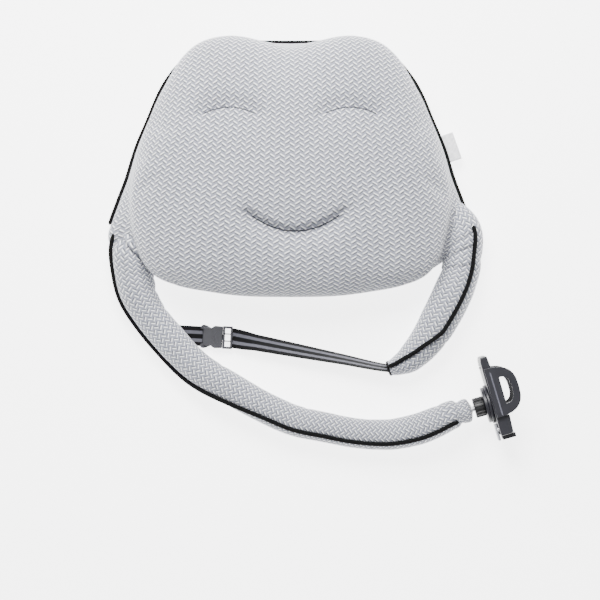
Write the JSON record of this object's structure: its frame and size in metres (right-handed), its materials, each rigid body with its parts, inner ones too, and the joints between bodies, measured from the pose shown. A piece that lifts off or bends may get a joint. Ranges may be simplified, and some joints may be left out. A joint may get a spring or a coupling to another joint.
{
  "type": "lumbar support cushion",
  "caption": "Puffy lumbar cushion with a quilted smiling face, two padded arms, a buckled waist strap and a bendable arm that ends in a phone holder.",
  "frame": {"origin": "middle of the cushion's flat back face, which rests on a table or against a chair's back", "axes": "+Z out of the cushion's face, towards the person's back; +Y to the cushion's top edge; +X to the short arm's side"},
  "size_m": [0.5177, 0.5179, 0.1136],
  "materials": {
    "grey_knit": "matte",
    "back_knit": "matte",
    "black_cord": "matte",
    "stitch_thread": "matte",
    "white_filling": "matte",
    "white_label": "matte",
    "charcoal_plastic": "satin",
    "buckle_plastic": "satin",
    "pale_plastic": "satin",
    "jaw_rubber": "matte",
    "steel": "satin",
    "zip_teeth": "satin"
  },
  "bodies": {
    "cushion": {"front_cover": "grey_knit", "back_cover": "back_knit", "foam_core": "white_filling", "body_piping": "black_cord", "left_eye_stitch": "stitch_thread", "right_eye_stitch": "stitch_thread", "mouth_stitch": "stitch_thread", "side_label": "white_label", "zipper_welt": "back_knit", "zipper_tape": "back_knit", "zipper_teeth": "zip_teeth", "long_arm_sleeve_1": "grey_knit", "long_arm_filling_1": "white_filling", "gooseneck_1": "steel", "gooseneck_anchor": "steel", "long_arm_piping_1": "black_cord", "long_arm_bend_1": "grey_knit", "short_arm_sleeve": "grey_knit", "short_arm_filling": "white_filling", "short_arm_piping": "black_cord", "strap_long": "black_cord", "strap_short": "black_cord", "buckle_female": "buckle_plastic"},
    "zip_slider": {"zipper_slider": "steel"},
    "zip_pull": {"zipper_pull": "steel"},
    "arm_middle": {"long_arm_sleeve_2": "grey_knit", "long_arm_filling_2": "white_filling", "gooseneck_2": "steel", "long_arm_piping_2": "black_cord", "long_arm_bend_2": "grey_knit"},
    "arm_outer": {"long_arm_sleeve_3": "grey_knit", "long_arm_filling_3": "white_filling", "gooseneck_3": "steel", "long_arm_piping_3": "black_cord", "long_arm_bend_3": "grey_knit"},
    "arm_tip": {"long_arm_sleeve_4": "grey_knit", "long_arm_filling_4": "white_filling", "gooseneck_4": "steel", "long_arm_piping_4": "black_cord", "end_ferrule": "steel", "ball_stud": "steel"},
    "liner": {"ball_liner": "pale_plastic"},
    "socket": {"socket_housing": "charcoal_plastic"},
    "nut": {"collar_nut": "charcoal_plastic"},
    "holder": {"swivel_disc": "charcoal_plastic", "holder_back_shell": "charcoal_plastic", "holder_front_shell": "charcoal_plastic", "back_plate": "pale_plastic", "housing_screw_1": "steel", "housing_screw_2": "steel", "jaw_fixed": "charcoal_plastic", "jaw_pad_fixed": "jaw_rubber", "jaw_spring": "steel"},
    "upper_jaw": {"jaw_sliding": "charcoal_plastic", "jaw_pad_sliding": "jaw_rubber"},
    "foot": {"support_foot": "charcoal_plastic"},
    "buckle_plug": {"buckle_male": "buckle_plastic"},
    "prong_upper": {"buckle_prong_upper": "buckle_plastic"},
    "prong_lower": {"buckle_prong_lower": "buckle_plastic"}
  },
  "joints": [
    {"name": "arm_lift", "type": "hinge", "parent": "cushion", "child": "arm_middle", "pos_m": [-0.09589, -0.25876, 0.02041], "axis": [-0.5131, -0.8583, 0], "range_deg": [0, 45], "deforming": ["long_arm_bend_1"]},
    {"name": "arm_swing", "type": "hinge", "parent": "arm_middle", "child": "arm_outer", "pos_m": [0.01954, -0.31518, 0.01955], "axis": [0, 0, 1], "range_deg": [-40, 5], "deforming": ["long_arm_bend_2"]},
    {"name": "arm_tip_lift", "type": "hinge", "parent": "arm_outer", "child": "arm_tip", "pos_m": [0.12624, -0.32888, 0.02059], "axis": [0.0796, -0.9968, 0], "range_deg": [0, 50], "deforming": ["long_arm_bend_3"]},
    {"name": "ball_pan", "type": "hinge", "parent": "arm_tip", "child": "liner", "pos_m": [0.237, -0.29397, 0.0345], "axis": [0.9613, 0.2756, 0], "continuous": true},
    {"name": "ball_tilt", "type": "hinge", "parent": "liner", "child": "socket", "pos_m": [0.237, -0.29397, 0.0345], "axis": [0.2756, -0.9613, 0], "range_deg": [-20, 20]},
    {"name": "nut_turn", "type": "hinge", "parent": "socket", "child": "nut", "pos_m": [0.237, -0.29397, 0.0345], "axis": [0.9613, 0.2756, 0], "range_deg": [-170, 170]},
    {"name": "holder_swivel", "type": "hinge", "parent": "socket", "child": "holder", "pos_m": [0.237, -0.29397, 0.0345], "axis": [0.9613, 0.2756, 0], "continuous": true},
    {"name": "jaw_open", "type": "slide", "parent": "holder", "child": "upper_jaw", "axis": [0, 0, 1], "range_m": [0, 0.035], "stiffness_N_per_m": 150, "springref_m": -0.02, "deforming": ["jaw_spring"]},
    {"name": "foot_out", "type": "slide", "parent": "holder", "child": "foot", "axis": [0.2756, -0.9613, 0], "range_m": [0, 0.02]},
    {"name": "zip_open", "type": "slide", "parent": "cushion", "child": "zip_slider", "axis": [1, 0, 0], "range_m": [0, 0.205]},
    {"name": "zip_pull_turn", "type": "hinge", "parent": "zip_slider", "child": "zip_pull", "pos_m": [-0.106, -0.095, 0.0014], "axis": [0, 1, 0], "range_deg": [0, 110]},
    {"name": "buckle_release", "type": "slide", "parent": "cushion", "child": "buckle_plug", "axis": [0.9986, -0.0523, 0], "range_m": [0, 0.03], "deforming": ["strap_long", "buckle_prong_upper", "buckle_prong_lower"]},
    {"name": "prong_upper_press", "type": "hinge", "parent": "buckle_plug", "child": "prong_upper", "pos_m": [-0.0848, -0.19781, 0.006], "axis": [0, 0, 1], "range_deg": [0, 7], "stiffness_Nm_per_rad": 0.25},
    {"name": "prong_lower_press", "type": "hinge", "parent": "buckle_plug", "child": "prong_lower", "pos_m": [-0.08578, -0.21639, 0.006], "axis": [0, 0, 1], "range_deg": [-7, 0], "stiffness_Nm_per_rad": 0.25}
  ]
}
